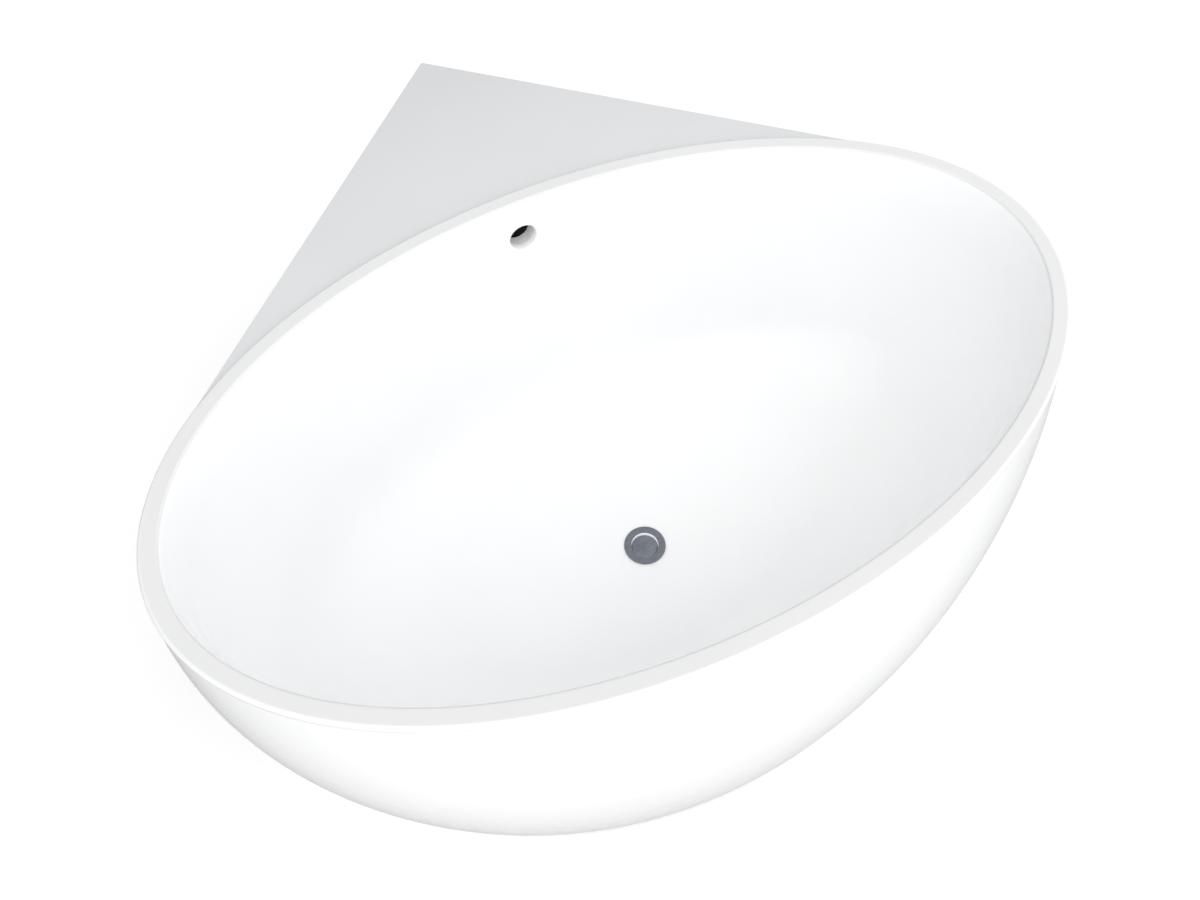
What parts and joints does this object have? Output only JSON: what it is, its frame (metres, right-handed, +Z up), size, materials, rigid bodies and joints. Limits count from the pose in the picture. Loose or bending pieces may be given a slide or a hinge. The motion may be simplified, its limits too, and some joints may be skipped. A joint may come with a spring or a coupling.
{
  "type": "freestanding bathtub",
  "caption": "Oval corner bath: gloss white acrylic tub in a curved skirt, with a triangular corner deck, pop-up waste, overflow, shallow trap, steel frame and levelling feet.",
  "frame": {"origin": "centre of the footprint's bounding box, on the floor", "axes": "+X along the oval's long axis, +Y into the room's corner, +Z up"},
  "size_m": [1.4964, 1.3548, 0.6],
  "materials": {
    "acrylic": "gloss",
    "panel": "satin",
    "plywood": "matte",
    "timber": "matte",
    "zinc_steel": "satin",
    "fastener": "brushed",
    "foot_pad": "matte",
    "chrome": "polished",
    "seal": "matte",
    "brass": "satin",
    "pipe_plastic": "satin"
  },
  "bodies": {
    "bath": {"back_panel_left": "panel", "back_panel_right": "panel", "base_board_left": "plywood", "base_board_right": "plywood", "bath_shell": "acrylic", "board_screws": "fastener", "bracket_screws": "fastener", "corner_deck": "acrylic", "corner_post": "timber", "cross_rail_left": "zinc_steel", "cross_rail_right": "zinc_steel", "deck_ledger": "plywood", "foot_nuts": "fastener", "long_rail_front": "zinc_steel", "long_rail_rear": "zinc_steel", "outer_skirt": "acrylic", "overflow_elbow": "pipe_plastic", "overflow_nuts": "pipe_plastic", "overflow_pipe": "pipe_plastic", "overflow_seal": "seal", "overflow_sleeve": "chrome", "panel_screws": "fastener", "plinth_ring": "plywood", "skirt_brackets": "zinc_steel", "trap_body": "pipe_plastic", "waste_flange": "chrome", "waste_pipe": "pipe_plastic", "waste_pipe_nut": "pipe_plastic", "waste_seal_bottom": "seal", "waste_seal_top": "seal", "waste_spider": "brass"},
    "plug": {"plug_cap": "chrome", "plug_seal": "seal", "plug_stem": "brass"},
    "foot_1": {"foot_pad_1": "foot_pad", "foot_stud_1": "fastener"},
    "foot_2": {"foot_pad_2": "foot_pad", "foot_stud_2": "fastener"},
    "foot_3": {"foot_pad_3": "foot_pad", "foot_stud_3": "fastener"},
    "foot_4": {"foot_pad_4": "foot_pad", "foot_stud_4": "fastener"},
    "foot_5": {"foot_pad_5": "foot_pad", "foot_stud_5": "fastener"}
  },
  "joints": [
    {"name": "plug_lift", "type": "slide", "parent": "bath", "child": "plug", "axis": [0, 0, 1], "range_m": [0, 0.009]},
    {"name": "foot_1_height", "type": "slide", "parent": "bath", "child": "foot_1", "axis": [0, 0, 1], "range_m": [-0.012, 0.006]},
    {"name": "foot_2_height", "type": "slide", "parent": "bath", "child": "foot_2", "axis": [0, 0, 1], "range_m": [-0.012, 0.006]},
    {"name": "foot_3_height", "type": "slide", "parent": "bath", "child": "foot_3", "axis": [0, 0, 1], "range_m": [-0.012, 0.006]},
    {"name": "foot_4_height", "type": "slide", "parent": "bath", "child": "foot_4", "axis": [0, 0, 1], "range_m": [-0.012, 0.006]},
    {"name": "foot_5_height", "type": "slide", "parent": "bath", "child": "foot_5", "axis": [0, 0, 1], "range_m": [-0.012, 0.006]}
  ]
}
